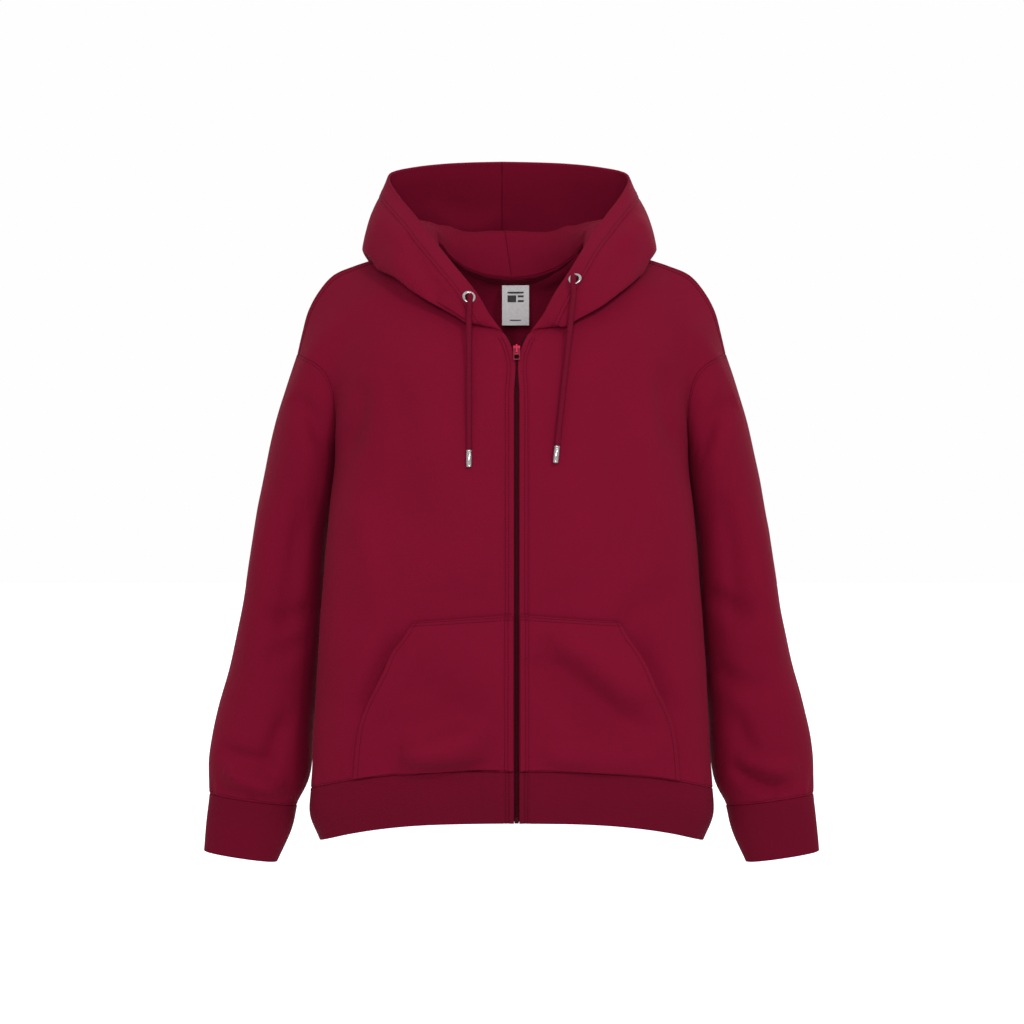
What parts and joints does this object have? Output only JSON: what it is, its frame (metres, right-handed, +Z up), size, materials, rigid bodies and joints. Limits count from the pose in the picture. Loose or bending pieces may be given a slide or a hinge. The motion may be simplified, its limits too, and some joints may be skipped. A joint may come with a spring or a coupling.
{
  "type": "zip up hoodie",
  "caption": "Burgundy fleece zip-up hooded sweatshirt with ribbed cuffs and waistband, kangaroo pockets and a drawcord hood worn down.",
  "frame": {"origin": "where a wearer holds it up: midway between the two points where the shoulder seams meet the neckline", "axes": "+Z up, -Y to the front, +X towards the wearer's left arm"},
  "size_m": [0.7412, 0.3108, 0.856],
  "materials": {
    "fleece": "brushed-back knit, matt",
    "rib": "ribbed knit, matt",
    "zip_tape_cloth": "woven tape, matt",
    "cord_cotton": "braided cord, matt",
    "teeth_plastic": "satin",
    "slider_lacquer": "gloss lacquer",
    "pull_lacquer": "gloss lacquer",
    "steel": "satin nickel",
    "label_weave": "satin weave"
  },
  "bodies": {
    "garment": {"back": "fleece", "cord_tip_left": "steel", "cord_tip_right": "steel", "cuff_left": "rib", "cuff_right": "rib", "drawcord_left": "cord_cotton", "drawcord_right": "cord_cotton", "eyelet_left": "steel", "eyelet_right": "steel", "front_left": "fleece", "front_right": "fleece", "hood_left": "fleece", "hood_right": "fleece", "label": "label_weave", "neck_tape": "zip_tape_cloth", "pocket_left": "fleece", "pocket_right": "fleece", "sleeve_left": "fleece", "sleeve_right": "fleece", "waistband": "rib", "zip_box": "teeth_plastic", "zip_chain": "teeth_plastic", "zip_slider": "slider_lacquer", "zip_tape_left": "zip_tape_cloth", "zip_tape_right": "zip_tape_cloth", "zip_teeth_left": "teeth_plastic", "zip_teeth_right": "teeth_plastic"},
    "zip_pull": {"zip_pull": "pull_lacquer"}
  },
  "joints": [
    {"name": "zip_pull_swing", "type": "hinge", "parent": "garment", "child": "zip_pull", "pos_m": [0.006, -0.11522, -0.13572], "axis": [-1, 0, 0], "range_deg": [0, 165]}
  ]
}
